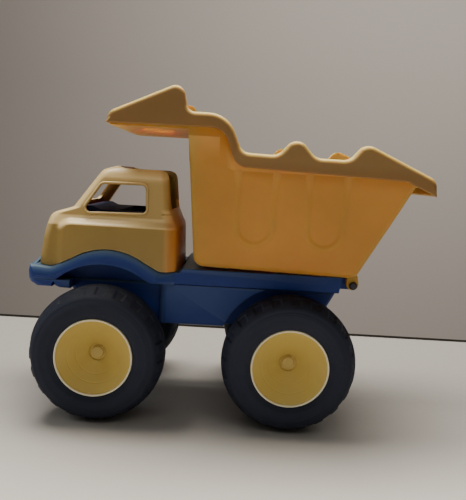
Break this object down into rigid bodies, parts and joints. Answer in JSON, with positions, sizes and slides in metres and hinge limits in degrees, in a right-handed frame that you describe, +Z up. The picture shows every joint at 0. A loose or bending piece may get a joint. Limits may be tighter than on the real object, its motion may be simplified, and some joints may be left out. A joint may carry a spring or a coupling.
{
  "type": "toy dump truck",
  "caption": "Moulded toy dump truck with an open cab, a canopied bed that tips on a rear hinge pin, and balloon wheels that spin on steel axles.",
  "frame": {"origin": "on the floor, under the middle of the truck's bounding box", "axes": "+X towards the nose, +Y towards the truck's left side, +Z up"},
  "size_m": [0.3284, 0.2, 0.2718],
  "materials": {
    "bed": "semi-translucent orange moulded polyethylene",
    "cab": "golden yellow moulded polyethylene, glossy",
    "interior": "dark navy moulded polyethylene",
    "chassis": "dark blue moulded polyethylene, satin",
    "hub": "yellow moulded polyethylene",
    "tyre": "black blow-moulded polyethylene, satin",
    "steel": "plain steel rod and screws",
    "pin": "dark oxide steel pin"
  },
  "bodies": {
    "chassis": {"chassis_deck": "chassis", "chassis_hull": "chassis", "cab_shell": "cab", "cab_interior": "interior", "axle_front": "steel", "axle_rear": "steel", "hull_screw_front_left": "steel", "hull_screw_front_right": "steel", "hull_screw_rear_left": "steel", "hull_screw_rear_right": "steel", "cab_screw_front_left": "steel", "cab_screw_front_right": "steel", "cab_screw_rear_left": "steel", "cab_screw_rear_right": "steel"},
    "dump_bed": {"dump_bed": "bed", "hinge_pin": "pin", "hinge_pin_nut": "pin"},
    "wheel_front_left": {"tyre_front_left": "tyre", "wheel_hub_front_left": "hub", "wheel_back_front_left": "hub", "axle_cap_front_left": "hub"},
    "wheel_front_right": {"tyre_front_right": "tyre", "wheel_hub_front_right": "hub", "wheel_back_front_right": "hub", "axle_cap_front_right": "hub"},
    "wheel_rear_left": {"tyre_rear_left": "tyre", "wheel_hub_rear_left": "hub", "wheel_back_rear_left": "hub", "axle_cap_rear_left": "hub"},
    "wheel_rear_right": {"tyre_rear_right": "tyre", "wheel_hub_rear_right": "hub", "wheel_back_rear_right": "hub", "axle_cap_rear_right": "hub"}
  },
  "joints": [
    {"name": "bed_tip", "type": "hinge", "parent": "chassis", "child": "dump_bed", "pos_m": [-0.1081, 0, 0.1181], "axis": [0, -1, 0], "range_deg": [0, 65]},
    {"name": "wheel_spin_front_left", "type": "hinge", "parent": "chassis", "child": "wheel_front_left", "pos_m": [0.1, 0.075, 0.055], "axis": [0, 1, 0], "continuous": true},
    {"name": "wheel_spin_front_right", "type": "hinge", "parent": "chassis", "child": "wheel_front_right", "pos_m": [0.1, -0.075, 0.055], "axis": [0, 1, 0], "continuous": true},
    {"name": "wheel_spin_rear_left", "type": "hinge", "parent": "chassis", "child": "wheel_rear_left", "pos_m": [-0.056, 0.075, 0.055], "axis": [0, 1, 0], "continuous": true},
    {"name": "wheel_spin_rear_right", "type": "hinge", "parent": "chassis", "child": "wheel_rear_right", "pos_m": [-0.056, -0.075, 0.055], "axis": [0, 1, 0], "continuous": true}
  ]
}
